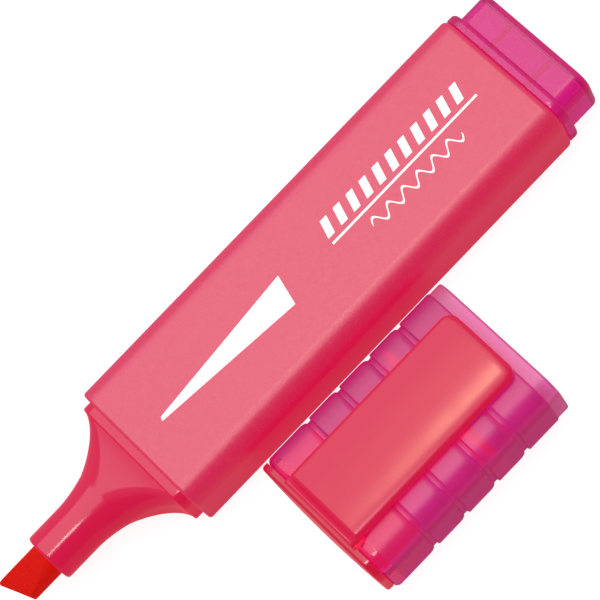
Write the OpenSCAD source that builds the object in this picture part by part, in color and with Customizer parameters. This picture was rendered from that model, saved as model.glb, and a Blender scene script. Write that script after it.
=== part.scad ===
// Flat highlighter pen with a chisel nib, lying on its back beside its cap.
// Millimetres. +X runs along the barrel towards the end plug, +Z is up and -Y is the cap's side.
// The origin is the middle of the barrel's flat underside, which rests on the table at z = 0.

/* [Barrel] */
// Length of the barrel, from its front edge to its rear edge
barrel_len = 71.5; // [64:0.5:80]
// Width of the barrel across its broad face
barrel_w = 23.4; // [22:0.1:25]
// Thickness of the barrel
barrel_t = 12.3; // [12:0.1:14]
// Radius of the barrel's four long corners
corner_r = 3.4; // [2:0.1:4]
// Wall of the barrel
barrel_wall = 1.1; // [1:0.05:1.2]

/* [Nose] */
// How far the nose flange stands in from the barrel's outline, on every side
nose_step = 1.25; // [1.2:0.05:1.5]
// Thickness of the nose flange
flange_len = 1.4; // [1:0.1:2]
// Length of the concave funnel, from the flange to the round neck
funnel_len = 12.1; // [10:0.1:14]
// Length of the straight round neck
neck_len = 5.75; // [4:0.05:8]
// Diameter of the round neck
neck_d = 7.7; // [7.2:0.1:8]
// Bend of the funnel's outline: 2 is a quarter ellipse, and less is straighter
funnel_bend = 1.75; // [1.5:0.05:2]
// How far the nose's skirt is pressed into the barrel
skirt_len = 6; // [4:0.5:8]

/* [Nib and ink] */
// Diameter of the felt nib
nib_d = 5.3; // [4.8:0.1:5.4]
// How far the nib's longer corner stands out of the neck
nib_out = 7.2; // [6:0.1:8]
// Slant of the chisel edge
nib_slant = 20; // [10:1:30]
// Thickness of the chisel edge
nib_edge = 1; // [0.6:0.1:1.6]
// Width of the fibre ink reservoir
core_w = 17.4; // [15:0.1:18]
// Thickness of the fibre ink reservoir
core_t = 7.4; // [6.5:0.1:7.5]
// Thickness of the film round the reservoir
film = 0.1; // [0.05:0.01:0.15]

/* [End plug] */
// Thickness of the end plug's flange
plug_flange = 1.5; // [1:0.1:2]
// How far the end plug reaches past the barrel's rear edge
plug_len = 6.5; // [5:0.1:9]
// Wall of the end plug
plug_wall = 1.1; // [0.9:0.1:1.4]
// Distance from the middle of the plug to each inner rib
plug_rib_y = 3.9; // [3:0.1:6]

/* [Cap] */
// Length of the cap, from its closed end to its mouth
cap_len = 34.9; // [34:0.1:38]
// Width of the cap's sleeve
cap_w = 23.4; // [23:0.1:24]
// Thickness of the cap's sleeve
cap_t = 12.4; // [12.4:0.1:13.5]
// Wall of the sleeve, on the crest of a band
cap_wall = 1.2; // [1.1:0.05:1.3]
// Length of the insert's end plate, which stands out of the sleeve
end_plate = 1.5; // [1:0.1:2]
// Distance from the closed end to the first groove
groove_first = 9.3; // [8:0.1:10]
// Spacing of the grooves between the grip bands
groove_pitch = 5.82; // [5.5:0.01:6]
// Width of a groove
groove_w = 0.7; // [0.5:0.1:1]
// Depth of a groove
groove_depth = 0.4; // [0.2:0.05:0.5]
// Depth of the insert, from the closed end
insert_len = 9.4; // [9:0.1:10]

/* [Seal cup] */
// Clearance between the neck and the bore of the seal cup
seal_gap = 0.07; // [0.03:0.01:0.1]
// Wall of the seal cup
cup_wall = 0.58; // [0.5:0.01:0.6]
// Distance from the closed end to the front face of the seal cup's flange
cup_front = 23.5; // [23:0.1:24]

/* [Clip] */
// Width of the clip
clip_w = 13; // [10:0.1:14]
// Distance from the closed end to the clip's free end
clip_end = 32.85; // [30:0.05:33]
// Thickness of the clip's pad
clip_t = 1.3; // [1:0.05:1.5]
// Gap between the clip's pad and the sleeve
clip_gap = 0.6; // [0.5:0.05:1]
// Radius of the clip's corners at the free end
clip_r = 1.8; // [1:0.1:3]

/* [Lay-out] */
// Distance in Y from the barrel's middle to the cap's middle
cap_y = 25.95; // [25:0.05:40]
// Where the cap's closed end lies along X
cap_x = -26.4; // [-60:0.1:0]

/* [Hidden] */
$fn = 64;

mid_z = barrel_t / 2;
front_x = -barrel_len / 2;
rear_x = barrel_len / 2;
inner_w = barrel_w - 2 * barrel_wall;
inner_t = barrel_t - 2 * barrel_wall;
inner_r = corner_r - barrel_wall;

flange_w = barrel_w - 2 * nose_step;
flange_t = barrel_t - 2 * nose_step;
flange_r = corner_r - nose_step + 0.4;
skirt_gap = 0.05;
skirt_w = inner_w - 2 * skirt_gap;
skirt_t = inner_t - 2 * skirt_gap;
skirt_wall = 1;
neck_r = neck_d / 2;
funnel_x = front_x - flange_len;
neck_x = funnel_x - funnel_len;
mouth_x = neck_x - neck_len;
nib_r = nib_d / 2;
nib_gap = 0.02;
nib_bore_r = nib_r + nib_gap;

core_x0 = front_x - 0.6;
nib_tail = 5;

plug_body_w = flange_w - 0.2;
plug_body_t = flange_t - 0.2;
plug_skirt = 5;
core_x1 = rear_x - plug_skirt - 0.4;
rib_x = rear_x - plug_skirt + 1;
plug_flange_in = 0.3;
plug_rib_t = 0.7;
plug_rib_h = 0.6;

cap_mid_z = cap_t / 2;
cap_r = corner_r + 0.1;
bore_w = cap_w - 2 * cap_wall;
bore_t = cap_t - 2 * cap_wall;
bore_r = cap_r - cap_wall;
groove_count = 4;
rim_len = 2.1;
rim_step = 0.2;
insert_gap = 0.05;
plate_in = 0.15;
cup_r = neck_r + seal_gap;
cup_out_r = cup_r + cup_wall;
cup_back = insert_len - 2.3;
cup_floor = 0.8;
cup_flange = 0.9;
cup_chamfer = 0.8;
cup_flare = 0.4;
seat_gap = 0.02;

clip_x0 = 1.15;
clip_root = 1.9;
clip_hinge_x = clip_x0 + clip_root / 2;
clip_hinge_z = cap_t + 0.1;
knuckle_r = 0.85;
knuckle_gap = 0.1;
root_w = clip_w - 0.6;
notch_w = clip_w + 0.4;
notch_x = clip_x0 + clip_root + 0.3;
clip_z0 = cap_t + clip_gap;
bump_x = clip_end - 2.2;
bump_r = 0.35;

// Outline of a flat pen part: a rectangle w by t with round corners of radius r
module outline(w, t, r) {
    square([w - 2 * r, t], center = true);
    square([w, t - 2 * r], center = true);
    for (sx = [-1, 1], sy = [-1, 1])
        translate([sx * (w / 2 - r), sy * (t / 2 - r)]) circle(r);
}

// Bar of that outline along X, from x0 to x1, about the axis y = 0, z = zc
module bar(x0, x1, w, t, r, zc) {
    translate([x0, 0, zc]) rotate([90, 0, 90]) linear_extrude(x1 - x0) outline(w, t, r);
}

// Round rod along X, from x0 to x1, about the axis y = 0, z = zc
module rod(x0, x1, r, zc) {
    translate([x0, 0, zc]) rotate([0, 90, 0]) cylinder(h = x1 - x0, r = r);
}

// Fall of the funnel's outline from 1 at the flange (s = 0) to 0 at the neck (s = 1)
function fall(s) = 1 - pow(1 - pow(1 - s, funnel_bend), 1 / funnel_bend);

// Fall of the funnel's thickness from 1 to 0 over the same length, slower than its width
function thin(s) = pow(1 - s, 2);

// One ring of the funnel: a rounded rectangle whose corners grow until it is a circle
function ring(x, a, b, r, steps) = [
    for (q = [0:3], i = [0:steps])
        let (
            ang = 90 * q + 90 * i / steps,
            sy = (q == 0 || q == 3) ? 1 : -1,
            sz = (q < 2) ? 1 : -1
        )
        [x, sy * (a - r) + r * cos(ang), sz * (b - r) + r * sin(ang)]
];

// Faces that join ring after ring of n points and close both ends
function skin_faces(rings, n) = concat(
    [
        for (k = [0:rings - 2], i = [0:n - 1])
            let (j = (i + 1) % n)
            [k * n + i, k * n + j, (k + 1) * n + j, (k + 1) * n + i]
    ],
    [[for (i = [n - 1:-1:0]) i]],
    [[for (i = [0:n - 1]) (rings - 1) * n + i]]
);

// Concave funnel between the flange and the neck, sunk a little into the flange at its wide end
module funnel() {
    steps = 8;
    rings = 17;
    ring_crowd = 1.4;
    corner_growth = 0.5;
    end_r = neck_r + 0.06;
    end_flat = 0.05;
    ledge = 0.08;
    sunk = 0.4;
    a0 = flange_w / 2 - ledge;
    b0 = flange_t / 2 - ledge;
    r0 = flange_r - ledge;
    n = 4 * (steps + 1);
    points = concat(
        ring(sunk, a0, b0, r0, steps),
        [
            for (k = [0:rings - 1])
                let (
                    s = pow(k / (rings - 1), ring_crowd),
                    grow = pow(s, corner_growth)
                )
                each ring(
                    -funnel_len * s,
                    end_r + (a0 - end_r) * fall(s),
                    end_r + (b0 - end_r) * thin(s),
                    r0 + (end_r - end_flat - r0) * grow,
                    steps
                )
        ]
    );
    translate([funnel_x, 0, mid_z]) polyhedron(points, skin_faces(rings + 1, n), convexity = 6);
}

// Extruded flat tube, open at both ends for the nose and the end plug
module barrel() {
    color("#e0617f")
    difference() {
        bar(front_x, rear_x, barrel_w, barrel_t, corner_r, mid_z);
        bar(front_x - 1, rear_x + 1, inner_w, inner_t, inner_r, mid_z);
    }
}

// Front moulding: skirt in the barrel, flange, funnel and round neck, bored for the nib
module nose() {
    color("#db3b5c")
    difference() {
        union() {
            bar(front_x, front_x + skirt_len, skirt_w, skirt_t, inner_r, mid_z);
            bar(funnel_x, front_x, flange_w, flange_t, flange_r, mid_z);
            funnel();
            rod(mouth_x, neck_x + 0.5, neck_r, mid_z);
        }
        bar(
            core_x0 - 0.05, front_x + skirt_len + 1,
            skirt_w - 2 * skirt_wall, skirt_t - 2 * skirt_wall, 0.6, mid_z
        );
        rod(mouth_x - 1, front_x, nib_bore_r, mid_z);
    }
}

// Felt rod cut to a slanted chisel edge, with its tail in the ink reservoir
module nib() {
    tip_x = mouth_x - nib_out;
    slope = atan((nib_r - nib_edge / 2) / nib_out);
    color("#db190f")
    difference() {
        rod(tip_x, core_x0 + nib_tail, nib_r, mid_z);
        for (side = [-1, 1])
            translate([mouth_x, 0, mid_z + side * nib_r])
                rotate([0, side * -slope, 0])
                    translate([-20, -10, side > 0 ? 0 : -10])
                        cube([20, 20, 10]);
        translate([tip_x, nib_r, mid_z - 10])
            rotate([0, 0, 90 + nib_slant])
                translate([-20, 0, 0])
                    cube([30, 10, 20]);
    }
}

// Compressed fibre core that holds the ink, with a socket for the nib's tail
module ink_reservoir() {
    color("#c9123a")
    difference() {
        bar(core_x0, core_x1, core_w, core_t, core_t / 2 - 0.01, mid_z);
        rod(core_x0 - 1, core_x0 + nib_tail + 0.1, nib_bore_r, mid_z);
    }
}

// Thin film wrapped round the fibre core, open at both ends
module reservoir_film() {
    color("#f2e6ea")
    difference() {
        bar(core_x0 + 0.5, core_x1 - 0.5, core_w + 2 * film, core_t + 2 * film, core_t / 2, mid_z);
        bar(core_x0, core_x1, core_w, core_t, core_t / 2 - 0.01, mid_z);
    }
}

// Translucent plug pressed into the rear of the barrel, hollow, with two ribs inside its upper wall
module end_plug() {
    end_x = rear_x + plug_len;
    step_x = rear_x + plug_flange;
    color("#dd468b")
    union() {
        difference() {
            union() {
                bar(rear_x - plug_skirt, rear_x, skirt_w, skirt_t, inner_r, mid_z);
                bar(
                    rear_x, step_x, barrel_w - 2 * plug_flange_in,
                    barrel_t - 2 * plug_flange_in, corner_r - plug_flange_in, mid_z
                );
                bar(step_x, end_x, plug_body_w, plug_body_t, flange_r, mid_z);
            }
            bar(
                rear_x - plug_skirt - 1, end_x - plug_wall,
                plug_body_w - 2 * plug_wall, plug_body_t - 2 * plug_wall, 0.6, mid_z
            );
        }
        for (side = [-1, 1])
            translate([
                rib_x,
                side * plug_rib_y - plug_rib_t / 2,
                mid_z + plug_body_t / 2 - plug_wall - plug_rib_h
            ])
                cube([end_x - rib_x - 0.5, plug_rib_t, 2 * plug_rib_h]);
    }
}

// One slanted stroke of the print: a parallelogram of length l and height h, leaning by lean
module stroke(l, h, lean) {
    polygon([[0, 0], [l, 0], [l + lean, h], [lean, h]]);
}

// White ink on the broad face: a line-width wedge, a row of slanted strokes, a rule and a wave
module barrel_print() {
    ink = 0.04;
    wedge_x = -30.7;
    wedge_len = 25;
    row_x = 2.6;
    row_count = 11;
    row_pitch = 2.52;
    wave_x = 8;
    wave_len = 17.4;
    wave_turns = 6;
    color("white")
    translate([0, 0, barrel_t])
    linear_extrude(ink) {
        polygon([
            [wedge_x, -0.5], [wedge_x + wedge_len - 1.2, -2.6],
            [wedge_x + wedge_len, 2.1], [wedge_x + 0.3, 0.1]
        ]);
        for (i = [0:row_count - 1])
            translate([row_x + i * row_pitch, 0.5]) stroke(1.25, 2.7, 0.9);
        translate([row_x - 0.1, -0.62]) square([28.1, 0.36]);
        polygon(concat(
            [for (i = [0:72]) [wave_x + wave_len * i / 72, -2.6 + 0.85 * sin(360 * wave_turns * i / 72)]],
            [for (i = [72:-1:0]) [wave_x + wave_len * i / 72, -3.0 + 0.85 * sin(360 * wave_turns * i / 72)]]
        ));
    }
}

// Puts a part of the cap where the cap lies; the cap's own x = 0 is its closed end
module place_cap() {
    translate([cap_x, -cap_y, 0]) children();
}

// Translucent outer sleeve, open at both ends, with grip bands between shallow grooves
module cap_sleeve() {
    rim_x = cap_len - rim_len;
    color("#d65e8b")
    place_cap()
    difference() {
        union() {
            bar(end_plate, rim_x, cap_w, cap_t, cap_r, cap_mid_z);
            bar(rim_x, cap_len, cap_w - 2 * rim_step, cap_t - 2 * rim_step, cap_r - rim_step, cap_mid_z);
        }
        bar(0, cap_len + 1, bore_w, bore_t, bore_r, cap_mid_z);
        for (i = [0:groove_count - 1])
            translate([groove_first + i * groove_pitch - groove_w / 2, 0, 0])
                difference() {
                    translate([0, -cap_w, -cap_t]) cube([groove_w, 2 * cap_w, 3 * cap_t]);
                    bar(
                        -1, groove_w + 1, cap_w - 2 * groove_depth,
                        cap_t - 2 * groove_depth, cap_r - groove_depth, cap_mid_z
                    );
                }
        translate([0, -notch_w / 2, cap_mid_z]) cube([notch_x, notch_w, cap_t]);
    }
}

// Opaque moulding that closes the sleeve and carries the clip's root and the seal cup
module cap_insert() {
    plate_w = cap_w - 2 * plate_in;
    plate_t = cap_t - 2 * plate_in;
    body_w = bore_w - 2 * insert_gap;
    body_t = bore_t - 2 * insert_gap;
    pocket_w = body_w / 2 - cup_out_r - 2 * cap_wall;
    color("#d8103c")
    place_cap()
    difference() {
        union() {
            bar(0, end_plate, plate_w, plate_t, cap_r - plate_in, cap_mid_z);
            bar(end_plate, insert_len, body_w, body_t, bore_r, cap_mid_z);
            translate([clip_x0, -root_w / 2, cap_mid_z])
                cube([clip_root, root_w, cap_t / 2 - 0.35]);
        }
        for (side = [-1, 1])
            translate([
                end_plate + 0.3,
                side > 0 ? cup_out_r + cap_wall : -cup_out_r - cap_wall - pocket_w,
                cap_mid_z - body_t / 2 + cap_wall
            ])
                cube([insert_len, pocket_w, body_t - 2 * cap_wall]);
        rod(cup_back, insert_len + 1, cup_out_r + seat_gap, cap_mid_z);
        translate([clip_hinge_x, root_w, clip_hinge_z])
            rotate([90, 0, 0]) cylinder(h = 2 * root_w, r = knuckle_r + knuckle_gap);
    }
}

// Inner cup that slides over the neck and seals the nib, with a flange that centres it in the sleeve
module seal_cup() {
    color("#d8103c")
    place_cap()
    difference() {
        union() {
            rod(cup_back, cup_front, cup_out_r, cap_mid_z);
            bar(
                cup_front - cup_flange, cup_front, bore_w - 2 * insert_gap,
                bore_t - 2 * insert_gap, bore_r, cap_mid_z
            );
        }
        rod(cup_back + cup_floor, cup_front + 1, cup_r, cap_mid_z);
        translate([cup_front - cup_chamfer, 0, cap_mid_z])
            rotate([0, 90, 0])
                cylinder(h = cup_chamfer, r1 = cup_r, r2 = cup_r + cup_flare);
    }
}

// Pocket clip: a flat pad over the sleeve, a bump under its free end, and a root with a half-round foot
module clip() {
    color("#e05a69")
    place_cap()
    union() {
        difference() {
            translate([clip_x0, -clip_w / 2, clip_z0]) cube([clip_end - clip_x0, clip_w, clip_t]);
            for (side = [-1, 1])
                translate([clip_end - clip_r, side * (clip_w / 2 - clip_r), clip_z0 - 1])
                    difference() {
                        translate([0, side > 0 ? 0 : -2 * clip_r, 0]) cube([2 * clip_r, 2 * clip_r, clip_t + 2]);
                        cylinder(h = clip_t + 2, r = clip_r);
                    }
        }
        translate([clip_x0, -root_w / 2, clip_hinge_z])
            cube([clip_root, root_w, clip_z0 - clip_hinge_z + 0.1]);
        translate([clip_hinge_x, root_w / 2, clip_hinge_z])
            rotate([90, 0, 0]) cylinder(h = root_w, r = knuckle_r);
        translate([bump_x, clip_w / 2 - clip_r, clip_z0])
            rotate([90, 0, 0]) cylinder(h = clip_w - 2 * clip_r, r = bump_r);
    }
}

barrel();
nose();
nib();
ink_reservoir();
reservoir_film();
end_plug();
barrel_print();
cap_sleeve();
cap_insert();
seal_cup();
clip();
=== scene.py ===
"""Flat highlighter, uncapped, with its clip cap beside it, on a white table under soft studio light.

Metres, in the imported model's frame: +X along the barrel towards the end plug, +Z out of the broad
printed face, -Y towards the cap. Sizes are given in millimetres and scaled as each mesh is made.
"""

import bpy
import numpy as np
from mathutils import Matrix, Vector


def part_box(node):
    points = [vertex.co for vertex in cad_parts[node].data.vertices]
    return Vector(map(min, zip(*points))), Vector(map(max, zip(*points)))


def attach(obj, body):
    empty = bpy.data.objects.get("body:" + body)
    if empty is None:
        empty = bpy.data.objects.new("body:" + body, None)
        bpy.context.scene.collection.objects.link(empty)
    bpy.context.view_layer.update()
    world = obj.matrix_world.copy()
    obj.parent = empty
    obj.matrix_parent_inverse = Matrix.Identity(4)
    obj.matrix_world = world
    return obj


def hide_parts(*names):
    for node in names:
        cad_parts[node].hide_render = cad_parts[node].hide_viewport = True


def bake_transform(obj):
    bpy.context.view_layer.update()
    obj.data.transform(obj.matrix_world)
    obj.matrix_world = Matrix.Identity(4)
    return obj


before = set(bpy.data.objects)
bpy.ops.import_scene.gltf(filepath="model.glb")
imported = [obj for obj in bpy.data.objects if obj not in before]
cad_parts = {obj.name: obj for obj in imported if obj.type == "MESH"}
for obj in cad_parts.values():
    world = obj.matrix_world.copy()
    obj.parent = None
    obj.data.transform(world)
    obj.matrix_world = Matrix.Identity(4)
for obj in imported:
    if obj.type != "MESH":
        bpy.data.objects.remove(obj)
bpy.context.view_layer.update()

# --- Barrel ---------------------------------------------------------------------------------------
# The body of the pen: one flat tube injection moulded in polypropylene, with fine pearl pigment in
# the pink. Its long corners are round, and it stays open at both ends for the nose and the plug.
MM = 0.001
barrel_low, barrel_high = [np.array(corner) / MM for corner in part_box("barrel")]
barrel_w = barrel_high[1] - barrel_low[1]
barrel_t = barrel_high[2] - barrel_low[2]
front_x = barrel_low[0]
rear_x = barrel_high[0]
pen_z = (barrel_low[2] + barrel_high[2]) / 2
barrel_r = 3.4
barrel_wall = 1.1
front_edge = 0.45
rear_edge = 0.9
inner_edge = 0.15


def rings(x, half_w, half_t, corner_w, corner_t, y=0.0, z=0.0, arc=14, cuts=()):
    """Rings of points round the X axis, one for each x: a grid of rings by points by (x, y, z).

    Each ring is a rectangle of the given half width (Y) and half thickness (Z). Each corner is a
    quarter ellipse: its centre plus corner_w times a cosine and corner_t times a sine. The cuts are
    extra y values between the corners of both broad sides. y and z move the ring's middle.
    """
    x, half_w, half_t, corner_w, corner_t = np.broadcast_arrays(
        *[np.atleast_1d(np.asarray(v, float)) for v in (x, half_w, half_t, corner_w, corner_t)]
    )
    corner_w = np.minimum(corner_w, half_w - 0.005)
    corner_t = np.minimum(corner_t, half_t - 0.005)
    ys, zs = [], []
    for quarter in range(4):
        angle = np.radians(90 * quarter + np.linspace(0, 90, arc + 1))[None, :]
        side_y = 1 if quarter in (0, 3) else -1
        side_z = 1 if quarter < 2 else -1
        ys.append(side_y * (half_w - corner_w)[:, None] + corner_w[:, None] * np.cos(angle))
        zs.append(side_z * (half_t - corner_t)[:, None] + corner_t[:, None] * np.sin(angle))
        if len(cuts) and quarter in (0, 2):
            row = np.sort(cuts)[::-1] if quarter == 0 else np.sort(cuts)
            limit = (half_w - corner_w)[:, None]
            ys.append(np.clip(np.broadcast_to(row, (len(x), len(row))), -limit, limit))
            zs.append(np.broadcast_to(side_z * half_t[:, None], (len(x), len(row))))
    ys = np.concatenate(ys, axis=1) + y
    zs = np.concatenate(zs, axis=1) + z
    return np.stack([np.broadcast_to(x[:, None], ys.shape), ys, zs], axis=-1)


def arc_profile(x, depth, radius, start, end, steps=8):
    """Points (x, depth) of an arc about (x, depth), its angle going from start to end in degrees.

    Depth is measured in from the outline, so an angle of 90 points out of the surface.
    """
    angle = np.radians(np.linspace(start, end, steps + 1))
    return np.stack([x + radius * np.cos(angle), depth - radius * np.sin(angle)], axis=1)


def skin(grid, joined=False):
    """Faces that join ring after ring, and close the ends or, if joined, the last ring to the first."""
    count, around = grid.shape[:2]
    near = np.arange(count if joined else count - 1)[:, None] * around
    far = (np.arange(1, count + 1 if joined else count) % count)[:, None] * around
    here = np.arange(around)[None, :]
    after = (here + 1) % around
    quads = np.stack([near + here, near + after, far + after, far + here], axis=-1).reshape(-1, 4)
    faces = quads.tolist()
    if not joined:
        faces.append(list(range(around - 1, -1, -1)))
        faces.append(list(range((count - 1) * around, count * around)))
    return faces


def make_piece(name, parts, material, sharp=38.0, attributes=None):
    """One object at the origin from parts, each a pair of points in millimetres and faces.

    Faces are smooth, edges sharper than the given angle stay crisp, and flat faces keep flat normals.
    """
    points, faces, first = [], [], 0
    for grid, part_faces in parts:
        flat = np.asarray(grid).reshape(-1, 3)
        points.append(flat * MM)
        faces += [[first + i for i in face] for face in part_faces]
        first += len(flat)
    mesh = bpy.data.meshes.new(name)
    mesh.from_pydata(np.concatenate(points).tolist(), [], faces)
    for key, values in (attributes or {}).items():
        layer = mesh.attributes.new(key, "FLOAT", "POINT")
        layer.data.foreach_set("value", np.asarray(values, np.float32).ravel())
    mesh.shade_smooth()
    mesh.set_sharp_from_angle(angle=np.radians(sharp))
    mesh.materials.append(material)
    mesh.update()
    piece = bpy.data.objects.new(name, mesh)
    bpy.context.scene.collection.objects.link(piece)
    flatten = piece.modifiers.new("flat_normals", "WEIGHTED_NORMAL")
    flatten.keep_sharp = True
    return piece


def linear(hex_colour):
    """Linear RGBA of an sRGB hex colour."""
    srgb = np.array([int(hex_colour[i:i + 2], 16) for i in (1, 3, 5)]) / 255
    rgb = np.where(srgb <= 0.04045, srgb / 12.92, ((srgb + 0.055) / 1.055) ** 2.4)
    return (*rgb.tolist(), 1.0)


def add(tree, kind, settings=None, links=None):
    """Add a node: settings are its own properties or its inputs' values, links feed its inputs."""
    node = tree.nodes.new(kind)
    for key, value in (settings or {}).items():
        if isinstance(key, str) and hasattr(node, key):
            setattr(node, key, value)
        else:
            node.inputs[key].default_value = value
    for key, socket in (links or {}).items():
        tree.links.new(socket, node.inputs[key])
    return node


def new_material(name, colour, settings, lights_others=False):
    """A material with one Principled shader on its output: gives the material, tree and shader.

    Unless it lights others, its glow is only met by chance rays and never sampled as a lamp.
    """
    material = bpy.data.materials.new(name)
    material.use_nodes = True
    material.cycles.emission_sampling = "AUTO" if lights_others else "NONE"
    tree = material.node_tree
    tree.nodes.clear()
    shader = add(tree, "ShaderNodeBsdfPrincipled", {"Base Color": linear(colour), **settings})
    add(tree, "ShaderNodeOutputMaterial", {}, {"Surface": shader.outputs["BSDF"]})
    return material, tree, shader


def place(tree):
    """Object coordinates, in metres from the model's origin."""
    return add(tree, "ShaderNodeTexCoord").outputs["Object"]


def add_bump(tree, shader, height, distance_mm, strength):
    """Feed a height into the shader's normal as a bump of the given depth in millimetres."""
    bump = add(
        tree, "ShaderNodeBump", {"Strength": strength, "Distance": distance_mm * MM},
        {"Height": height},
    )
    tree.links.new(bump.outputs["Normal"], shader.inputs["Normal"])
    return bump


def pearl_polypropylene():
    """Moulded polypropylene with mica pearl flakes, out of a spark-eroded mould.

    It gives a satin pink with a very fine sparkle. Real flakes are 0.02 to 0.06 mm, too fine to
    show, so they are drawn 0.16 mm wide. The pigment is fluorescent; the red glow stands for that
    and is also painted light, which keeps the shaded sides as bright a red as the lit face.
    """
    material, tree, shader = new_material(
        "pearl_polypropylene_pink", "#70204c",
        {
            "Roughness": 0.36, "IOR": 1.49, "Specular IOR Level": 0.8,
            "Coat Weight": 0.3, "Coat Roughness": 0.3,
            # The red glow is painted light as well as fluorescence: it keeps shaded sides bright red.
            "Emission Color": linear("#e0103e"), "Emission Strength": 0.73,
        },
    )
    coords = place(tree)
    flakes = add(
        tree, "ShaderNodeTexVoronoi", {"feature": "F1", "Scale": 1 / (0.16 * MM)}, {"Vector": coords}
    )
    grain = add(
        tree, "ShaderNodeTexNoise", {"Scale": 1 / (0.35 * MM), "Detail": 3.0}, {"Vector": coords}
    )
    flake_red = add(tree, "ShaderNodeSeparateColor", {}, {"Color": flakes.outputs["Color"]})
    tint = add(tree, "ShaderNodeValToRGB", {}, {"Fac": flake_red.outputs["Red"]})
    tint.color_ramp.elements[0].position = 0.8
    tint.color_ramp.elements[0].color = linear("#70204c")
    tint.color_ramp.elements[1].color = linear("#843a62")
    tree.links.new(tint.outputs["Color"], shader.inputs["Base Color"])
    rough = add(
        tree, "ShaderNodeMapRange", {"To Min": 0.36, "To Max": 0.5},
        {"Value": flake_red.outputs["Red"]},
    )
    tree.links.new(rough.outputs["Result"], shader.inputs["Roughness"])
    add_bump(tree, shader, grain.outputs["Fac"], 0.02, 0.2)
    return material


# The barrel's wall as (x, depth): round front and rear edges, a blunt lip, and the bore's edges.
outer = np.concatenate([
    arc_profile(front_x + front_edge, front_edge, front_edge, 180, 90),
    arc_profile(rear_x - rear_edge, rear_edge, rear_edge, 90, 35),
    [[rear_x - 0.05, rear_edge * 0.72], [rear_x, rear_edge * 0.9]],
    arc_profile(rear_x - inner_edge, barrel_wall - inner_edge, inner_edge, 0, -90, 4),
    arc_profile(front_x + inner_edge, barrel_wall - inner_edge, inner_edge, -90, -180, 4),
])
barrel_grid = rings(
    outer[:, 0], barrel_w / 2 - outer[:, 1], barrel_t / 2 - outer[:, 1],
    barrel_r - outer[:, 1], barrel_r - outer[:, 1], z=pen_z,
)
barrel = make_piece("barrel_tube", [(barrel_grid, skin(barrel_grid, True))], pearl_polypropylene())
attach(barrel, "pen")
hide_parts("barrel")

# --- Ink reservoir and film -----------------------------------------------------------------------
# The store of ink inside the barrel: a bonded polyester fibre rod pressed flat, soaked with pink
# ink, in a sleeve of clear film. The nose's skirt holds one end and the plug's skirt the other.


def inked_fibre():
    """Bonded polyester fibre soaked with ink: dull, with long fine strands along the barrel."""
    material, tree, shader = new_material("bonded_polyester_inked", "#c9123a", {"Roughness": 0.85})
    stretch = add(
        tree, "ShaderNodeMapping", {"Scale": (1 / (4 * MM), 1 / (0.25 * MM), 1 / (0.25 * MM))},
        {"Vector": place(tree)},
    )
    strands = add(
        tree, "ShaderNodeTexNoise", {"Scale": 1.0, "Detail": 4.0},
        {"Vector": stretch.outputs["Vector"]},
    )
    tint = add(tree, "ShaderNodeValToRGB", {}, {"Fac": strands.outputs["Fac"]})
    tint.color_ramp.elements[0].color = linear("#a80c30")
    tint.color_ramp.elements[1].color = linear("#d92a4e")
    tree.links.new(tint.outputs["Color"], shader.inputs["Base Color"])
    add_bump(tree, shader, strands.outputs["Fac"], 0.1, 0.6)
    return material


def clear_film():
    """Clear polypropylene film, wrapped round and heat sealed: glossy with faint creases."""
    material, tree, shader = new_material(
        "clear_wrap_film", "#f6e8ec", {"Roughness": 0.12, "IOR": 1.49, "Transmission Weight": 0.9}
    )
    creases = add(
        tree, "ShaderNodeTexNoise", {"Scale": 1 / (3 * MM), "Detail": 3.0}, {"Vector": place(tree)}
    )
    add_bump(tree, shader, creases.outputs["Fac"], 0.15, 0.4)
    return material


def dress(node, material):
    """Give a carried-over CAD node its material."""
    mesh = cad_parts[node].data
    mesh.materials.clear()
    mesh.materials.append(material)


dress("ink_reservoir", inked_fibre())
dress("reservoir_film", clear_film())

# --- Nose -----------------------------------------------------------------------------------------
# The front of the pen: a glossy moulding whose skirt is pressed into the barrel. Its flange meets
# the barrel's end, a concave funnel runs down to a round neck, and the neck holds the nib.
skirt_len = 6.0
skirt_half = (10.55, 5.0)
skirt_r = 2.25
skirt_wall = 1.0
flange_half = (10.45, 4.9)
flange_r = 2.55
flange_len = 1.4
flange_edge = 0.25
funnel_len = 12.1
neck_len = 5.75
neck_r = 3.85
mouth_edge = 0.45
nib_bore = 2.67
funnel_x = front_x - flange_len
neck_x = funnel_x - funnel_len
mouth_x = neck_x - neck_len


def gloss_polypropylene(name, colour, rough=0.16, glow=0.7, gloss=0.5):
    """Opaque polypropylene out of a polished mould: a clean gloss with very slight moulding waves.

    The pigment is fluorescent; the red glow stands for that and is also painted light, which keeps
    shaded sides bright red and makes inner parts shine through clear plastic. gloss is the strength
    of reflections.
    """
    material, tree, shader = new_material(
        name, colour,
        {
            "Roughness": rough, "IOR": 1.49, "Specular IOR Level": gloss,
            # The glow is painted light as well as fluorescence.
            "Emission Color": linear("#e0103a"), "Emission Strength": glow,
        },
    )
    coords = place(tree)
    waves = add(
        tree, "ShaderNodeTexNoise", {"Scale": 1 / (6 * MM), "Detail": 1.0}, {"Vector": coords}
    )
    smears = add(
        tree, "ShaderNodeTexNoise", {"Scale": 1 / (1.5 * MM), "Detail": 4.0}, {"Vector": coords}
    )
    tone = add(
        tree, "ShaderNodeMapRange", {"To Min": rough * 0.8, "To Max": rough * 1.3},
        {"Value": smears.outputs["Fac"]},
    )
    tree.links.new(tone.outputs["Result"], shader.inputs["Roughness"])
    add_bump(tree, shader, waves.outputs["Fac"], 0.05, 0.5)
    return material


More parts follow.
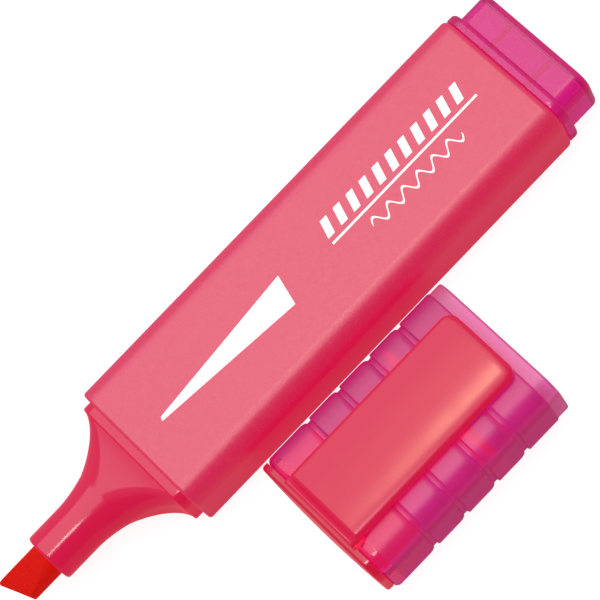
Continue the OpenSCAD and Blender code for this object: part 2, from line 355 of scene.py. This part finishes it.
def nose_grid():
    """Rings of the nose, from the skirt's inner end out along its outside and back through its bore.

    Along the funnel s goes from 0 at the flange to 1 at the neck. The half width is the neck's
    radius plus its growth times 1 - (1 - (1 - s)^1.75)^(1/1.75), the half thickness the neck's
    radius plus its growth times (1 - s)^2, and the corners grow from round edges to a full circle.
    """
    s = np.linspace(0, 1, 44) ** 1.3
    fall = 1 - (1 - (1 - s) ** 1.75) ** (1 / 1.75)
    half_w = neck_r + (flange_half[0] - 0.08 - neck_r) * fall
    half_t = neck_r + (flange_half[1] - 0.08 - neck_r) * (1 - s) ** 2
    growth = np.minimum(1, (s / 0.55) ** 1.6)
    corner_w = flange_r + (half_w - flange_r) * growth
    corner_t = flange_r + (half_t - flange_r) * growth
    bevel = arc_profile(0, 0, flange_edge, 90, 180, 5)
    lip = arc_profile(mouth_x + mouth_edge, mouth_edge, mouth_edge, 90, 180, 6)
    cavity = (skirt_half[0] - skirt_wall, skirt_half[1] - skirt_wall)
    skirt_floor = front_x - 0.65
    rows = [
        (front_x + skirt_len, skirt_half[0] - 0.1, skirt_half[1] - 0.1, skirt_r, skirt_r),
        (front_x + skirt_len - 0.1, *skirt_half, skirt_r, skirt_r),
        (front_x + 0.5, *skirt_half, skirt_r, skirt_r),
        (front_x + 0.45, *flange_half, flange_r, flange_r),
    ]
    rows += [
        (
            funnel_x + flange_edge + x, flange_half[0] - flange_edge - d,
            flange_half[1] - flange_edge - d, flange_r - flange_edge - d, flange_r - flange_edge - d,
        )
        for x, d in bevel
    ]
    rows += list(zip(funnel_x - funnel_len * s, half_w, half_t, corner_w, corner_t))
    rows += [(x, *[neck_r - d] * 4) for x, d in lip]
    rows += [
        (mouth_x + 0.02, *[nib_bore + 0.15] * 4),
        (mouth_x + 0.15, *[nib_bore] * 4),
        (skirt_floor, *[nib_bore] * 4),
        (skirt_floor, *cavity, 0.6, 0.6),
        (front_x + skirt_len, *cavity, 0.6, 0.6),
    ]
    x, a, b, ca, cb = np.array(rows)[::-1].T
    return rings(x, a, b, ca, cb, z=pen_z, arc=18)


nose_points = nose_grid()
nose = make_piece(
    "nose_moulding", [(nose_points, skin(nose_points, True))],
    gloss_polypropylene("polished_polypropylene_nose", "#780f3e"),
)
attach(nose, "pen")
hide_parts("nose")

# --- Nib ------------------------------------------------------------------------------------------
# The writing tip: a round rod of bonded fibre pushed into the neck, ground to a wedge on both
# faces and cut across at a slant, and soaked with ink, so it is darker and redder than the pen.
nib_r = 2.65
nib_out = 7.2
nib_hidden = 12.0
nib_slant = 20.0
nib_edge = 1.0
nib_round = 0.35


def inked_felt():
    """Bonded fibre felt, ground to shape and wet with ink: dull, with strands along the rod."""
    material, tree, shader = new_material(
        "ground_fibre_felt_inked", "#dc1b10",
        {
            "Roughness": 0.62, "Specular IOR Level": 0.1,
            # The red glow is painted light that keeps the nib's shaded facets bright.
            "Emission Color": linear("#e01008"), "Emission Strength": 0.56,
        },
    )
    coords = place(tree)
    stretch = add(
        tree, "ShaderNodeMapping", {"Scale": (1 / (1.6 * MM), 1 / (0.22 * MM), 1 / (0.22 * MM))},
        {"Vector": coords},
    )
    strands = add(
        tree, "ShaderNodeTexNoise", {"Scale": 1.0, "Detail": 4.0},
        {"Vector": stretch.outputs["Vector"]},
    )
    pores = add(
        tree, "ShaderNodeTexNoise", {"Scale": 1 / (0.3 * MM), "Detail": 3.0}, {"Vector": coords}
    )
    mixed = add(
        tree, "ShaderNodeMath", {"operation": "ADD"},
        {0: strands.outputs["Fac"], 1: pores.outputs["Fac"]},
    )
    level = add(
        tree, "ShaderNodeMapRange", {"From Min": 0.6, "From Max": 1.4}, {"Value": mixed.outputs[0]}
    )
    tint = add(tree, "ShaderNodeValToRGB", {}, {"Fac": level.outputs["Result"]})
    tint.color_ramp.elements[0].color = linear("#800804")
    tint.color_ramp.elements[1].color = linear("#b01208")
    tree.links.new(tint.outputs["Color"], shader.inputs["Base Color"])
    add_bump(tree, shader, level.outputs["Result"], 0.12, 0.7)
    return material


def nib_grid():
    """Rings of the nib: a circle of radius nib_r whose z is held within the wedge's half thickness.

    The half thickness, the limit, falls in a straight line from nib_r at the mouth to nib_edge / 2
    at the tip. z times the limit over (|z|^9 + limit^9)^(1/9) rounds the edge where facet and rod
    meet. x runs to a tip that slants with y, and the last rings follow a quarter circle.
    """
    around = np.radians(np.linspace(0, 360, 120, endpoint=False))[None, :]
    tail = np.linspace(mouth_x + nib_hidden, mouth_x, 4)[:-1, None]
    s = np.linspace(0, 1, 48)[:, None]
    tip_x = mouth_x - nib_out + nib_r * (1 - np.cos(around)) * np.tan(np.radians(nib_slant))
    x = mouth_x + (tip_x - mouth_x) * s
    limit = nib_r + (nib_edge / 2 - nib_r) * (mouth_x - x) / nib_out
    y = nib_r * np.cos(around)
    rod_z = nib_r * np.sin(around)
    z = rod_z * limit / (np.abs(rod_z) ** 9 + limit ** 9) ** (1 / 9)
    body_x = x + nib_round * np.clip((s - 0.9) / 0.1, 0, 1)
    turn = np.radians(np.linspace(0, 90, 8))[1:, None]
    end_x = body_x[-1:] - nib_round * np.sin(turn)
    end_y = y * (1 - nib_round * (1 - np.cos(turn)) / nib_r)
    end_z = z[-1:] * (1 - nib_round * (1 - np.cos(turn)) / (nib_edge / 2))
    grid = np.concatenate([
        np.stack(np.broadcast_arrays(tail, y, rod_z), -1),
        np.stack(np.broadcast_arrays(body_x, y, z), -1),
        np.stack([end_x, end_y, end_z], -1),
    ])
    grid[..., 2] += pen_z
    return grid[::-1]


nib_points = nib_grid()
nib = make_piece("felt_nib", [(nib_points, skin(nib_points))], inked_felt(), sharp=60.0)
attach(nib, "pen")
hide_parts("nib")

# --- End plug -------------------------------------------------------------------------------------
# The rear closure: a hollow plug in clear magenta polypropylene, pressed into the barrel by a
# skirt, with a flange against the barrel's edge and two shallow ribs inside its upper wall.
plug_len = 6.5
plug_flange = 1.5
plug_wall = 1.1
plug_skirt = 5.0
plug_half = (10.35, 4.8)
plug_flange_in = 0.3
plug_edge = 0.95
plug_face_in = 2.5
plug_satin = 0.4
rib_y = 3.9
rib_t = 0.7
rib_h = 0.6
rib_start = 4.0


def clear_magenta(name, colour, glow, satin, grain):
    """Clear polypropylene tinted magenta through its whole thickness.

    Light loses green and most of its blue on the way through, so thick and folded places go deep
    crimson and thin edges stay pale pink. The piece's satin attribute goes from 0, polished, over
    0.8, frosted, to 1, frosted and paler; that paler colour is painted light, for the light that
    comes through the rim's single wall. satin is the roughness that frosting adds, grain the
    strength of its relief, and glow that of a magenta glow, which stands for the fluorescent dye
    and is also painted light that lifts the shade.
    """
    material, tree, shader = new_material(
        name, colour,
        {
            "Roughness": 0.08, "IOR": 1.49,
            # The magenta glow is painted light as well as fluorescence.
            "Emission Color": linear("#dc107c"), "Emission Strength": glow,
        },
    )
    coords = place(tree)
    frost = add(
        tree, "ShaderNodeTexNoise", {"Scale": 1 / (0.3 * MM), "Detail": 3.0}, {"Vector": coords}
    )
    share = add(tree, "ShaderNodeAttribute", {"attribute_name": "satin"})
    rough = add(
        tree, "ShaderNodeMapRange", {"From Max": 0.8, "To Min": 0.07, "To Max": 0.07 + satin},
        {"Value": share.outputs["Fac"]},
    )
    tree.links.new(rough.outputs["Result"], shader.inputs["Roughness"])
    clear = add(
        tree, "ShaderNodeMapRange", {"From Max": 0.8, "To Min": 0.94, "To Max": 0.72},
        {"Value": share.outputs["Fac"]},
    )
    tree.links.new(clear.outputs["Result"], shader.inputs["Transmission Weight"])
    # The paler colour at satin 1 is painted light, for light through the rim's single wall.
    tone = add(tree, "ShaderNodeValToRGB", {}, {"Fac": share.outputs["Fac"]})
    tone.color_ramp.elements[0].position = 0.8
    tone.color_ramp.elements[0].color = linear(colour)
    tone.color_ramp.elements[1].color = linear("#dca0cc")
    tree.links.new(tone.outputs["Color"], shader.inputs["Base Color"])
    relief = add(
        tree, "ShaderNodeMath", {"operation": "MULTIPLY"},
        {0: frost.outputs["Fac"], 1: share.outputs["Fac"]},
    )
    add_bump(tree, shader, relief.outputs[0], 0.02, grain)
    tint = add(tree, "ShaderNodeVolumeAbsorption", {"Density": 250.0, "Color": (0.85, 0.033, 0.4, 1)})
    output = next(n for n in tree.nodes if n.type == "OUTPUT_MATERIAL")
    tree.links.new(tint.outputs["Volume"], output.inputs["Volume"])
    return material


def plug_grid():
    """Rings of the plug: from its floor along its inside to its open end, and back to its end face.

    The outside runs over the skirt, a step to the rounded flange, a fillet and the body's own
    rounded edge. Each row is (x, half width, half thickness, corner radius).
    """
    open_x = rear_x - plug_skirt
    end_x = rear_x + plug_len
    step_x = rear_x + plug_flange
    floor_x = end_x - plug_wall
    rim_half = (barrel_w / 2 - plug_flange_in, barrel_t / 2 - plug_flange_in)
    rim_r = barrel_r - plug_flange_in
    cavity = (plug_half[0] - plug_wall, plug_half[1] - plug_wall)
    rows = [(floor_x, cavity[0] - plug_face_in, cavity[1] - plug_face_in, 0.5)]
    hollow = arc_profile(floor_x - 0.4, 0.4, 0.4, 0, 90, 5)
    rows += [(x, cavity[0] - d, cavity[1] - d, 0.6) for x, d in hollow]
    rows.append((open_x, *cavity, 0.6))
    rows.append((open_x, cavity[0] + 0.3, cavity[1] + 0.3, 0.9))
    rows += [(x, *skirt_half, skirt_r) for x in (open_x + 0.1, rear_x - 0.02)]
    flange = np.concatenate([
        arc_profile(rear_x + 0.12, 0.12, 0.12, 180, 90, 3),
        arc_profile(step_x - 0.65, 0.65, 0.65, 90, 0, 8),
    ])
    rows += [(x, rim_half[0] - d, rim_half[1] - d, rim_r - d) for x, d in flange]
    fillet = arc_profile(step_x + 0.2, -0.2, 0.2, -180, -90, 4)
    rows += [(x, plug_half[0] - d, plug_half[1] - d, flange_r) for x, d in fillet]
    edge = arc_profile(end_x - plug_edge, plug_edge, plug_edge, 90, 0, 10)
    rows += [(x, plug_half[0] - d, plug_half[1] - d, max(flange_r - d, 0.7)) for x, d in edge]
    rows.append((end_x, plug_half[0] - plug_face_in, plug_half[1] - plug_face_in, 0.6))
    x, a, b, corner = np.array(rows).T
    return rings(x, a, b, corner, corner, z=pen_z)


def plug_ribs():
    """Two thin bars with round edges, along the inside of the plug's upper wall."""
    parts = []
    gap = 0.02
    inside = rear_x + plug_len - plug_wall - gap
    x = np.array([rear_x - rib_start, rear_x - rib_start + 0.1, inside - 0.1, inside])
    inset = np.array([0.1, 0, 0, 0.1])
    rib_z = pen_z + plug_half[1] - plug_wall - gap - rib_h / 2
    for side in (-1, 1):
        rib = rings(
            x, rib_t / 2 - inset, rib_h / 2 - inset, 0.12, 0.12, y=side * rib_y, z=rib_z, arc=4
        )
        parts.append((rib, skin(rib)))
    return parts


plug_points = plug_grid()
plug = make_piece(
    "end_plug_shell", [(plug_points, skin(plug_points))],
    clear_magenta("clear_magenta_polypropylene_plug", "#d434b2", glow=0.19, satin=0.3, grain=0.0),
    attributes={"satin": np.full(plug_points.shape[:2], plug_satin)},
)
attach(plug, "pen")
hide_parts("end_plug")
# The ribs' red glow is painted light.
ribs = make_piece(
    "end_plug_ribs", plug_ribs(),
    gloss_polypropylene("polypropylene_seen_edge_on", "#a8085c", rough=0.3, glow=0.5, gloss=0.1),
)
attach(ribs, "pen")

# --- Print ----------------------------------------------------------------------------------------
# White marks pad printed on the broad face: a wedge, a row of strokes, a rule and a wave. The ink
# lies on the pearl surface as a thin dull film.


def pad_print_ink():
    """White pad-printing ink: nearly matt, a little uneven where it is thin."""
    material, tree, shader = new_material(
        "pad_print_ink_white", "#fbf8f4",
        # The faint white glow is painted light that keeps the print white in shade.
        {"Roughness": 0.5, "Emission Color": (1, 0.98, 0.95, 1), "Emission Strength": 0.3},
    )
    mottle = add(
        tree, "ShaderNodeTexNoise", {"Scale": 1 / (0.5 * MM), "Detail": 3.0}, {"Vector": place(tree)}
    )
    tint = add(tree, "ShaderNodeValToRGB", {}, {"Fac": mottle.outputs["Fac"]})
    tint.color_ramp.elements[0].position = 0.3
    tint.color_ramp.elements[0].color = linear("#f7eef0")
    tint.color_ramp.elements[1].color = linear("#ffffff")
    tree.links.new(tint.outputs["Color"], shader.inputs["Base Color"])
    return material


dress("barrel_print", pad_print_ink())

# --- Cap sleeve -----------------------------------------------------------------------------------
# The cap's outside: a clear magenta tube with five grip bands, frosted on the bands and polished
# next to the end plate. Each band starts with a crisp step and rounds off into the next groove, and
# a frosted rim is set in a little at the mouth; its paler colour is painted light, for the light
# that comes through its single wall.
sleeve_low, sleeve_high = [np.array(corner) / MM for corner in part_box("cap_sleeve")]
cap_low = np.array(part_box("cap_insert")[0]) / MM
cap_x = cap_low[0]
cap_y = (sleeve_low[1] + sleeve_high[1]) / 2
cap_w = sleeve_high[1] - sleeve_low[1]
cap_t = sleeve_high[2] - sleeve_low[2]
cap_z = (sleeve_low[2] + sleeve_high[2]) / 2
cap_len = sleeve_high[0] - cap_x
cap_r = 3.5
cap_wall = 1.2
end_plate = 1.5
groove_first = 9.3
groove_pitch = 5.82
groove_count = 4
groove_w = 0.7
groove_depth = 0.4
band_round = 1.1
rim_len = 2.1
rim_step = 0.2
polished_len = 1.7
satin_strip = 0.3
satin_bands = 0.8
# The rim's value of 1 frosts it and also turns its colour paler: painted light through its single wall.
frosted_painted_pale_rim = 1.0
notch_half = 6.7
notch_len = 1.85
notch_fade = 5.0


def rounded_drop(start, width, depth, steps):
    """(x, depth) of a quarter ellipse that leaves the surface level and ends straight down."""
    angle = np.linspace(0, np.pi / 2, steps)
    return np.stack([start + width * np.sin(angle), depth * (1 - np.cos(angle))], axis=1)


def band_profile():
    """(x, depth) along the sleeve's outside: a rounded end, then band, rounded drop, groove, step."""
    strip_end = end_plate + polished_len
    parts = [arc_profile(end_plate + 0.9, 0.9, 0.9, 180, 90, 8)]
    parts.append([[strip_end - 0.05, 0], [strip_end + 0.05, 0]])
    for i in range(groove_count):
        middle = groove_first + groove_pitch * i
        step_x = middle + groove_w / 2
        parts.append(rounded_drop(middle - groove_w / 2 - band_round, band_round, groove_depth, 8))
        parts.append([[step_x - 0.12, groove_depth], [step_x - 0.03, groove_depth - 0.06]])
        parts.append(arc_profile(step_x + 0.2, 0.2, 0.2, 175, 90, 5))
    parts.append(rounded_drop(cap_len - rim_len - 0.4, 0.4, rim_step, 5))
    parts.append(arc_profile(cap_len - 0.35, rim_step + 0.35, 0.35, 90, 0, 6))
    return np.concatenate(parts)


def sleeve_grid():
    """Rings of the sleeve as a closed loop, outside to the mouth and inside back, and their satin.

    Points of the upper side within the notch's width are moved towards the mouth, by the notch's
    length at the closed end and by nothing a few millimetres on, which cuts the notch for the clip.
    """
    outside = band_profile()
    inside = np.concatenate([
        arc_profile(cap_len - 0.3, cap_wall - 0.3, 0.3, 0, -90, 5),
        arc_profile(end_plate + 0.15, cap_wall - 0.15, 0.15, -90, -180, 3),
    ])
    x, depth = np.concatenate([outside, inside]).T
    beside = notch_half + np.array([-0.35, -0.05, 0.25, 0.9])
    corner = np.maximum(cap_r - depth, 0.9)
    grid = rings(
        x, cap_w / 2 - depth, cap_t / 2 - depth, corner, corner,
        cuts=np.concatenate([-beside, [-3, 0, 3], beside]),
    )
    satin = np.select(
        [x >= cap_len - rim_len, x > end_plate + polished_len, x > end_plate],
        [frosted_painted_pale_rim, satin_bands, satin_strip], 0.0,
    )
    satin[len(outside):] = 0
    satin = np.broadcast_to(satin[:, None], grid.shape[:2])
    in_notch = (np.abs(grid[..., 1]) < notch_half) & (grid[..., 2] > 0)
    fade = np.clip(1 - (grid[..., 0] - end_plate) / notch_fade, 0, 1)
    grid[..., 0] += notch_len * in_notch * fade
    grid += np.array([cap_x, cap_y, cap_z])
    return grid, satin


sleeve_points, sleeve_satin = sleeve_grid()
sleeve = make_piece(
    "cap_sleeve_shell", [(sleeve_points, skin(sleeve_points, True))],
    clear_magenta("clear_magenta_polypropylene_sleeve", "#c83f9e", glow=0.16, satin=0.3, grain=0.12),
    attributes={"satin": sleeve_satin},
)
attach(sleeve, "cap")
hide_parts("cap_sleeve")

# --- Cap insert -----------------------------------------------------------------------------------
# The opaque moulding that closes the sleeve. Its slightly domed end plate stands out of the sleeve,
# its body fills the first 9 mm and shows red through it, and a round socket in its back holds the
# seal cup. The plate and the body are one moulding, drawn as two pieces that meet face to face, so
# that the body can carry a stronger red glow: painted light that makes it shine through the sleeve.
insert_len = 9.4
plate_half = (11.55, 6.05)
plate_r = 3.35
plate_low_in = 0.7
insert_half = (10.42, 4.92)
insert_r = 2.25
plate_dome = 0.4
plate_edge = 0.5
lower_round = 0.9
cup_back = 7.1
cup_r = 3.92
cup_out_r = 4.5
socket_r = cup_out_r + 0.02


def plate_grid():
    """Rings of the end plate: its dome, its rounded edge and its back.

    The dome rises with the square of the distance in from its edge. Its lower corners are rounder
    than its upper ones: below the middle the outline is drawn in, by lower_round times the squares
    of how low a point is and of how far out it is, and raised by as much.
    """
    size = np.array([*plate_half, plate_r, plate_r])
    rows = [(plate_dome * r ** 2, *(r * (size - plate_edge))) for r in np.linspace(0.05, 1, 10)]
    edge = arc_profile(plate_dome + plate_edge, 0, plate_edge, 170, 90, 7)
    rows += [(x, *(size - plate_edge - d)) for x, d in edge]
    rows.append((end_plate, *size))
    x, a, b, ca, cb = np.array(rows).T
    grid = rings(x, a, b, ca, cb)
    y, z = grid[..., 1], grid[..., 2]
    low = np.clip(-z / plate_half[1], 0, 1)
    outer = np.clip((np.abs(y) / plate_half[0] - 0.5) / 0.5, 0, 1)
    y -= np.sign(y) * lower_round * low ** 2 * outer ** 2
    z += plate_low_in * low + lower_round * low ** 2 * outer ** 2
    return grid + np.array([cap_x, cap_y, cap_z])


def body_grid():
    """Rings of the insert's body: its sides, its back face, and the round socket down to its floor."""
    bevel = 0.2
    rows = [
        (end_plate + 0.01, *insert_half, insert_r, insert_r),
        (insert_len - bevel, *insert_half, insert_r, insert_r),
        (insert_len, *(np.array([*insert_half, insert_r, insert_r]) - bevel)),
        (insert_len, *[socket_r] * 4),
        (cup_back, *[socket_r] * 4),
        (cup_back, *[0.4] * 4),
    ]
    x, a, b, ca, cb = np.array(rows).T
    return rings(x, a, b, ca, cb) + np.array([cap_x, cap_y, cap_z])


plate_points = plate_grid()
body_points = body_grid()
insert_plate = make_piece(
    "cap_insert_plate", [(plate_points, skin(plate_points))],
    gloss_polypropylene("polished_polypropylene_insert", "#400820", glow=0.75),
)
# The body's strong glow is painted light, brighter than the plate's.
insert_body = make_piece(
    "cap_insert_body", [(body_points, skin(body_points))],
    gloss_polypropylene("moulded_polypropylene_insert", "#a00a28", rough=0.2, glow=1.25),
)
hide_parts("cap_insert")
for piece in (insert_plate, insert_body):
    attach(piece, "cap")

# --- Seal cup -------------------------------------------------------------------------------------
# The inner cup that slides over the neck and keeps the nib wet. Its flange centres it in the sleeve
# and shows through the sleeve as a red ring, made brighter by a strong red glow that is painted light.
cup_front = 23.5
cup_flange = 0.9
cup_chamfer = 0.8
cup_flare = 0.4
cup_floor = 0.8


def cup_grid():
    """Rings of the cup: closed back, tube, flange, flared mouth, and down the bore to its floor."""
    bevel = 0.1
    flange_x = cup_front - cup_flange
    mouth_r = cup_r + cup_flare + 0.08
    flange_face = (insert_half[0] - bevel, insert_half[1] - bevel, insert_r, insert_r)
    rows = [
        (cup_back, *[0.4] * 4),
        (cup_back, *[cup_out_r - 0.2] * 4),
        (cup_back + 0.2, *[cup_out_r] * 4),
        (flange_x, *[cup_out_r] * 4),
        (flange_x, *flange_face),
        (flange_x + bevel, *insert_half, insert_r, insert_r),
        (cup_front - bevel, *insert_half, insert_r, insert_r),
        (cup_front, *flange_face),
        (cup_front, *[mouth_r] * 4),
        (cup_front - cup_chamfer, *[cup_r] * 4),
        (cup_back + cup_floor, *[cup_r] * 4),
        (cup_back + cup_floor, *[0.4] * 4),
    ]
    x, a, b, ca, cb = np.array(rows).T
    return rings(cap_x + x, a, b, ca, cb, y=cap_y, z=cap_z, arc=18)


cup_points = cup_grid()
cup = make_piece(
    "seal_cup_moulding", [(cup_points, skin(cup_points))],
    gloss_polypropylene("polished_polypropylene_seal", "#a00a28", rough=0.2, glow=1.4),
)
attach(cup, "cap")
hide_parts("seal_cup")

# --- Clip -----------------------------------------------------------------------------------------
# The pocket clip, one moulding with the insert: a root that rises through the sleeve's notch, a low
# ridge, and a long crowned pad with round shoulders that springs over the sleeve.
clip_x0 = 1.15
clip_end = 32.85
clip_half = 6.5
clip_low = 13.0
clip_high = 14.3
clip_r = 1.8
clip_side = 0.4
root_end = 3.0
root_low = 10.9
ridge_high = 14.0
crease_x = 2.2
crease_high = 13.7
pad_rise = 0.75
end_round = 2.6
wall_run = 0.35
dip_start = 1.5


def clip_grid():
    """Rings of the clip along X, each an upper curve across the clip and a flat underside.

    The upper height is the edge's height plus the rest times (1 - |y/w|^3)^(1/3), a flat crown with
    round shoulders. Along X the rest follows the root's wall, ridge, crease and pad, and falls off
    as (1 - t^5)^(1/5) at the free end, where the half width w follows a quarter circle in plan.
    """
    quarter = np.linspace(0, np.pi / 2, 24)
    x = np.concatenate([
        clip_x0 + wall_run * (1 - np.cos(np.linspace(0, np.pi / 2, 7))),
        np.linspace(clip_x0 + 0.4, 3.4, 46),
        np.linspace(3.6, clip_end - end_round, 26),
        clip_end - end_round + end_round * np.sin(quarter[1:]),
    ])
    lead = np.clip((x - clip_x0) / wall_run, 0, 1)
    wall_low = root_low + 1.9
    ridge = wall_low + (ridge_high - wall_low) * np.sqrt(1 - (1 - lead) ** 2)
    dip = np.clip((x - dip_start) / (crease_x - dip_start), 0, 1)
    rise = np.clip((x - crease_x) / pad_rise, 0, 1)
    pad = crease_high + (clip_high - crease_high) * (1 - (1 - rise) ** 2.4)
    top = np.where(x < crease_x, ridge - (ridge_high - crease_high) * dip ** 2, pad)
    ending = np.clip((x - (clip_end - end_round)) / end_round, 0, 1)
    edge_z = clip_low + clip_side
    top = edge_z + (top - edge_z) * np.clip(1 - ending ** 5, 0, 1) ** 0.2
    plan = np.clip(x - (clip_end - clip_r), 0, clip_r)
    half = clip_half - (clip_r - np.sqrt(clip_r ** 2 - plan ** 2)) * 0.98
    step = np.clip((x - root_end) / 0.5, 0, 1)
    low = root_low + (clip_low - root_low) * np.sqrt(1 - (1 - step) ** 2)
    across = np.sin(np.linspace(np.pi / 2, -np.pi / 2, 41))
    crown = np.clip(1 - np.abs(across) ** 3, 0, 1) ** (1 / 3)
    upper_y = half[:, None] * across[None, :]
    upper_z = edge_z + (top - edge_z)[:, None] * crown[None, :]
    bevel = 0.15
    lower_y = (half - bevel)[:, None] * np.linspace(-1, 1, 9)[None, :]
    lower_z = np.broadcast_to(low[:, None], lower_y.shape)
    bevel_z = (low + bevel)[:, None]
    ys = np.concatenate([upper_y, -half[:, None], lower_y, half[:, None]], axis=1)
    zs = np.concatenate([upper_z, bevel_z, lower_z, bevel_z], axis=1)
    xs = np.broadcast_to(x[:, None], ys.shape)
    return np.stack([cap_x + xs, cap_y + ys, zs], axis=-1)


clip_points = clip_grid()
clip = make_piece(
    "pocket_clip", [(clip_points, skin(clip_points))],
    gloss_polypropylene("polished_polypropylene_clip", "#780f3a", rough=0.2, gloss=0.4), sharp=50.0,
)
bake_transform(clip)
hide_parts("clip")

# --- Studio ---------------------------------------------------------------------------------------
# A white table that glows faintly, a broad softbox above and behind the pen, a warm card and a small
# lamp for the glints, and surroundings that are bright behind the pen and dim on the cap's side. The
# camera looks down from above the cap's side.
table_half = 1.5


def white_table():
    """White acrylic, lit from below: it stays white under the object, and lights the clear parts.

    It is brightest where it is seen, straight or through clear plastic, and dimmer as a light on
    the sides of the object.
    """
    material, tree, shader = new_material(
        "opal_acrylic_light_table", "#8c8c8c", {"Roughness": 0.6, "Emission Color": (1, 1, 1, 1)},
        lights_others=True,
    )
    rays = add(tree, "ShaderNodeLightPath")
    through = add(
        tree, "ShaderNodeMath", {"operation": "MAXIMUM"},
        {0: rays.outputs["Is Camera Ray"], 1: rays.outputs["Is Transmission Ray"]},
    )
    lit = add(
        tree, "ShaderNodeMath", {"operation": "MULTIPLY_ADD", 1: 0.4},
        {0: rays.outputs["Is Diffuse Ray"], 2: through.outputs[0]},
    )
    power = add(
        tree, "ShaderNodeMapRange", {"To Min": 0.08, "To Max": 0.9}, {"Value": lit.outputs[0]}
    )
    tree.links.new(power.outputs["Result"], shader.inputs["Emission Strength"])
    return material


table = bpy.data.meshes.new("table_top")
table_corners = [(x * table_half, y * table_half, 0) for x, y in ((-1, -1), (1, -1), (1, 1), (-1, 1))]
table.from_pydata(table_corners, [], [(0, 1, 2, 3)])
table.materials.append(white_table())
table_top = bpy.data.objects.new("table_top", table)
bpy.context.scene.collection.objects.link(table_top)


def aim(back, up):
    """Rotation whose local +Z is back and whose local +Y is as near to up as it can be."""
    back = np.array(back, float) / np.linalg.norm(back)
    right = np.cross(up, back)
    right /= np.linalg.norm(right)
    return Matrix(np.stack([right, np.cross(back, right), back], axis=1).tolist())


def softbox(name, direction, distance, size, power):
    """A rectangular area light at the given direction and distance from the pen, facing it."""
    light = bpy.data.lights.new(name, "AREA")
    light.shape = "RECTANGLE"
    light.size, light.size_y = size
    light.energy = power
    box = bpy.data.objects.new(name, light)
    direction = np.array(direction, float) / np.linalg.norm(direction)
    place_at = Matrix.Translation((direction * distance).tolist())
    box.matrix_world = place_at @ aim(direction, (1, 0, 0)).to_4x4()
    bpy.context.scene.collection.objects.link(box)
    return box


softbox("softbox_over", (0.0, 0.42, 0.91), 1.1, (1.3, 0.8), 5.6)
warm = softbox("warm_card", (0.075, 0.13, 1.0), 0.9, (0.15, 0.05), 0.85)
warm.data.color = (1.0, 0.75, 0.45)
softbox("glint_lamp", (-0.09, -0.2, 1.0), 0.91, (0.1, 0.08), 0.75)

world = bpy.data.worlds.new("studio_surroundings")
world.use_nodes = True
sky = world.node_tree
outward = add(
    sky, "ShaderNodeSeparateXYZ", {},
    {"Vector": add(sky, "ShaderNodeTexCoord").outputs["Generated"]},
)
glow = add(
    sky, "ShaderNodeMapRange",
    {
        "interpolation_type": "SMOOTHSTEP", "From Min": -0.4, "From Max": 0.0,
        "To Min": 0.12, "To Max": 0.5,
    },
    {"Value": outward.outputs["Y"]},
)
sky.nodes["Background"].inputs["Color"].default_value = (1, 1, 1, 1)
sky.links.new(glow.outputs["Result"], sky.nodes["Background"].inputs["Strength"])
bpy.context.scene.world = world

scene = bpy.context.scene
scene.view_settings.view_transform = "Standard"
scene.cycles.max_bounces = 16
scene.cycles.transmission_bounces = 16
scene.cycles.caustics_refractive = True
scene.cycles.caustics_reflective = False
scene.cycles.sample_clamp_indirect = 1.2

camera_place = (-0.022475, -0.161279, 0.411222)
camera_roll = 46.06
camera_data = bpy.data.cameras.new("camera")
camera_data.sensor_width = 36.0
camera_data.lens = 191.38
camera = bpy.data.objects.new("camera", camera_data)
towards_camera = np.array([-0.03816, -0.36920, 0.92857])
towards_camera /= np.linalg.norm(towards_camera)
level = np.array([1.0, 0, 0]) - towards_camera[0] * towards_camera
level /= np.linalg.norm(level)
upright = np.cross(towards_camera, level)
roll = np.radians(camera_roll)
camera_up = level * np.sin(roll) + upright * np.cos(roll)
camera.matrix_world = Matrix.Translation(camera_place) @ aim(towards_camera, camera_up).to_4x4()
bpy.context.scene.collection.objects.link(camera)
scene.camera = camera

bpy.context.view_layer.update()
